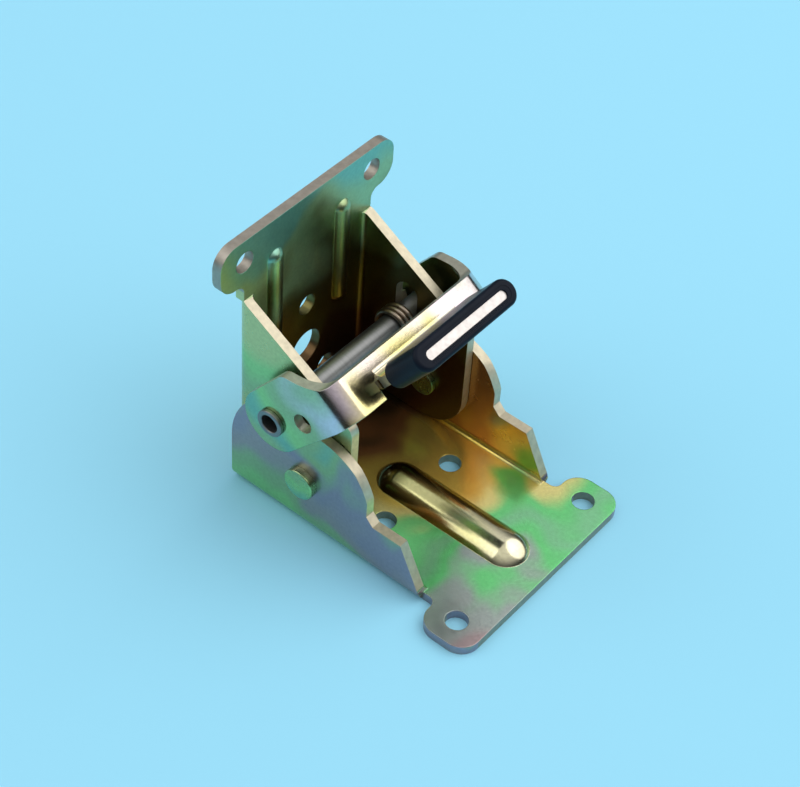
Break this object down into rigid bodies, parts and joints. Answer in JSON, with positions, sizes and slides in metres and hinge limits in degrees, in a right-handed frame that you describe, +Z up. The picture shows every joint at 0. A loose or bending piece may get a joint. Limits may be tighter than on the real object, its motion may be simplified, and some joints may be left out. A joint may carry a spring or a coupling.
{
  "type": "folding table leg bracket",
  "caption": "Pressed steel folding leg bracket: a leg channel hinges inside a base channel and a sprung lever with a lock pin holds it upright.",
  "frame": {"origin": "on the underside of the base, below the hinge axis and midway between the cheeks", "axes": "+X from the hinge towards the base ears, +Y along the hinge axis, +Z up from the table's underside"},
  "size_m": [0.0625, 0.0496, 0.0603],
  "materials": {
    "zinc_base": "iridescent yellow zinc passivation",
    "zinc_rivet": "iridescent yellow zinc passivation",
    "zinc_leg": "iridescent yellow zinc passivation",
    "grey_steel": "plain drawn steel",
    "spring_steel": "dark drawn wire",
    "zinc_lever": "iridescent yellow zinc passivation",
    "black_grip": "soft black plastic"
  },
  "bodies": {
    "base": {"base_bracket": "zinc_base", "left_hinge_rivet": "zinc_rivet", "right_hinge_rivet": "zinc_rivet"},
    "leg": {"leg_bracket": "zinc_leg"},
    "pin": {"lock_pin": "grey_steel", "torsion_spring": "spring_steel"},
    "lever": {"lock_lever": "zinc_lever", "grip_sleeve": "black_grip"}
  },
  "joints": [
    {"name": "leg_fold", "type": "hinge", "parent": "base", "child": "leg", "pos_m": [0, 0, 0.0125], "axis": [0, 1, 0], "range_deg": [0, 90]},
    {"name": "pin_lift", "type": "slide", "parent": "leg", "child": "pin", "axis": [0, 0, 1], "range_m": [0, 0.0056]},
    {"name": "lever_turn", "type": "hinge", "parent": "pin", "child": "lever", "pos_m": [-0.00574, 0, 0.02636], "axis": [0, -1, 0], "range_deg": [0, 30], "deforming": ["torsion_spring"]}
  ],
  "couplings": [
    {"joint": "pin_lift", "follows": "leg_fold", "m_per_rad": 0.0035651},
    {"joint": "lever_turn", "follows": "leg_fold", "ratio": 0.33333}
  ]
}
